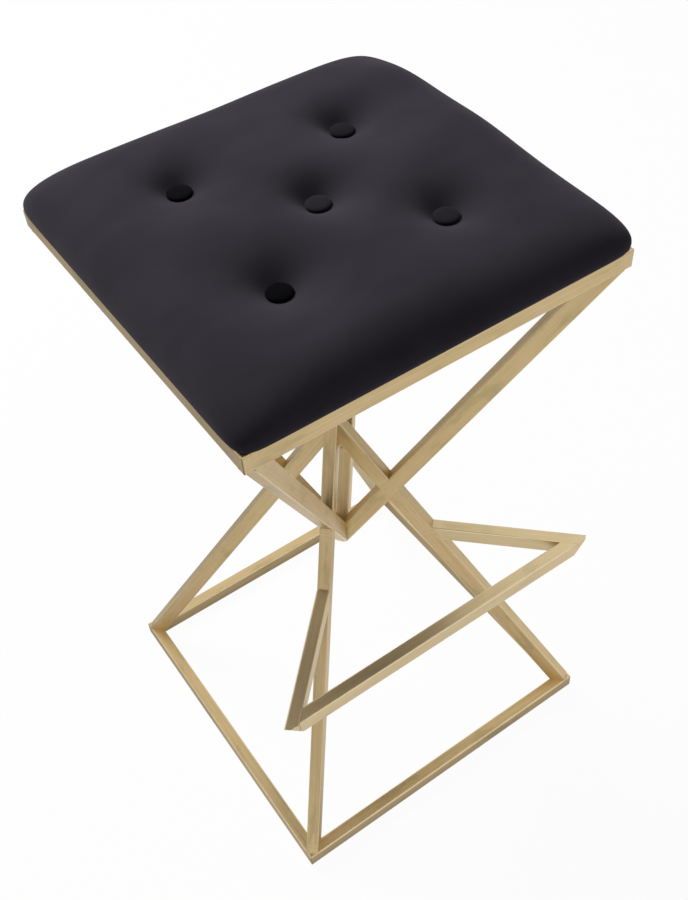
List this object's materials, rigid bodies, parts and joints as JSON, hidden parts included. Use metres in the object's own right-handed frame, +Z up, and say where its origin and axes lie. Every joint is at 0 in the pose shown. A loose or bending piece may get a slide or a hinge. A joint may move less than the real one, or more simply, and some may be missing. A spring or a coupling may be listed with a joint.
{
  "type": "bar stool",
  "caption": "Square bar stool whose upright and inverted tube pyramids cross below a buttoned velvet seat pad, with a square base frame and a front footrest.",
  "frame": {"origin": "on the floor under the middle of the stool", "axes": "+Z up, +X to the right along the front, +Y to the back; the footrest stands out towards -Y"},
  "size_m": [0.428, 0.428, 0.801],
  "materials": {
    "brass_frame": "brushed antique brass on steel tube",
    "zinc_steel": "zinc plated",
    "nylon": "moulded",
    "plywood": "unfinished plywood",
    "dust_cloth": "non-woven black cloth",
    "foam": "open-cell foam",
    "velvet": "short-pile velvet",
    "twine": "waxed twine"
  },
  "bodies": {
    "root": {"base_rail_back": "brass_frame", "base_rail_front": "brass_frame", "base_rail_left": "brass_frame", "base_rail_right": "brass_frame", "seat_rail_back": "brass_frame", "seat_rail_front": "brass_frame", "seat_rail_left": "brass_frame", "seat_rail_right": "brass_frame", "strut_back_left": "brass_frame", "strut_back_right": "brass_frame", "strut_front_left": "brass_frame", "strut_front_right": "brass_frame", "leg_back_left": "brass_frame", "leg_back_right": "brass_frame", "leg_front_left": "brass_frame", "leg_front_right": "brass_frame", "leg_top_back_left": "brass_frame", "leg_top_back_right": "brass_frame", "leg_top_front_left": "brass_frame", "leg_top_front_right": "brass_frame", "footrest_bar": "brass_frame", "footrest_arm_left": "brass_frame", "footrest_arm_right": "brass_frame", "corner_plate_back_left": "zinc_steel", "corner_plate_back_right": "zinc_steel", "corner_plate_front_left": "zinc_steel", "corner_plate_front_right": "zinc_steel", "seat_screw_back_left": "zinc_steel", "seat_screw_back_right": "zinc_steel", "seat_screw_front_left": "zinc_steel", "seat_screw_front_right": "zinc_steel", "glide_back_left": "nylon", "glide_back_right": "nylon", "glide_front_left": "nylon", "glide_front_right": "nylon", "seat_board": "plywood", "dust_cover": "dust_cloth", "foam_pad": "foam", "velvet_cover": "velvet", "button_centre": "velvet", "button_back_left": "velvet", "button_back_right": "velvet", "button_front_left": "velvet", "button_front_right": "velvet", "tuft_twine_centre": "twine", "tuft_twine_back_left": "twine", "tuft_twine_back_right": "twine", "tuft_twine_front_left": "twine", "tuft_twine_front_right": "twine"}
  },
  "joints": []
}
